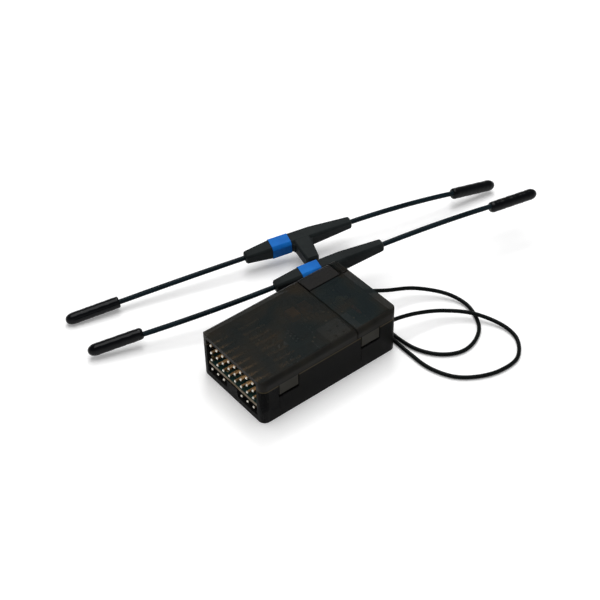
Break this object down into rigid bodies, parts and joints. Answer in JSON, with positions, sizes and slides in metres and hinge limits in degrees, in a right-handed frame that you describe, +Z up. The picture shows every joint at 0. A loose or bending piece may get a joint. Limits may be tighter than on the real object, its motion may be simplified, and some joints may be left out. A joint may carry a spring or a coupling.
{
  "type": "radio control receiver",
  "caption": "Smoky translucent receiver case with rows of servo pins at one end, and T-shaped dipole antennas on thin coaxial leads from the other.",
  "frame": {"origin": "centre of the case's flat underside, on the surface the case stands on", "axes": "-X towards the pins, +X towards the end the leads leave from, +Y towards the side the antennas lie on, +Z up"},
  "size_m": [0.135, 0.0908, 0.0146],
  "materials": {
    "smoky_case": "satin translucent",
    "board": "coated laminate",
    "black_plastic": "moulded",
    "gold_pins": "plated",
    "tinned_leads": "tinned",
    "chip": "moulded epoxy",
    "shield": "tinned sheet",
    "orange_cap": "moulded epoxy",
    "ceramic": "fired ceramic",
    "lamp": "clear red",
    "plunger": "moulded",
    "lead_sheath": "smooth extruded",
    "antenna_black": "moulded satin",
    "blue_band": "printed sleeve",
    "whip_sheath": "satin",
    "tip_rubber": "glossy heat-shrunk"
  },
  "bodies": {
    "receiver": {"base_shell": "smoky_case", "front_cover": "smoky_case", "rear_cover": "smoky_case", "main_board": "board", "servo_header": "black_plastic", "servo_pins": "gold_pins", "data_header": "black_plastic", "data_pins": "gold_pins", "mcu_chip": "chip", "mcu_leads": "tinned_leads", "memory_chip": "chip", "memory_leads": "tinned_leads", "radio_shield": "shield", "regulator": "chip", "crystal": "shield", "tantalum_caps": "orange_cap", "ceramic_caps": "ceramic", "resistors": "chip", "status_leds": "lamp", "switch_body": "black_plastic", "antenna_jacks": "gold_pins", "antenna_plugs": "gold_pins", "coax_a": "lead_sheath", "coax_b": "lead_sheath", "housing_a": "antenna_black", "housing_b": "antenna_black", "band_a": "blue_band", "band_b": "blue_band", "whip_a_left": "whip_sheath", "whip_a_right": "whip_sheath", "whip_b_left": "whip_sheath", "whip_b_right": "whip_sheath", "cap_a_left": "tip_rubber", "cap_a_right": "tip_rubber", "cap_b_left": "tip_rubber", "cap_b_right": "tip_rubber"},
    "button": {"button_cap": "smoky_case", "switch_plunger": "plunger"}
  },
  "joints": [
    {"name": "button_press", "type": "slide", "parent": "receiver", "child": "button", "axis": [0, 0, -1], "range_m": [0, 0.0003], "stiffness_N_per_m": 1500}
  ]
}
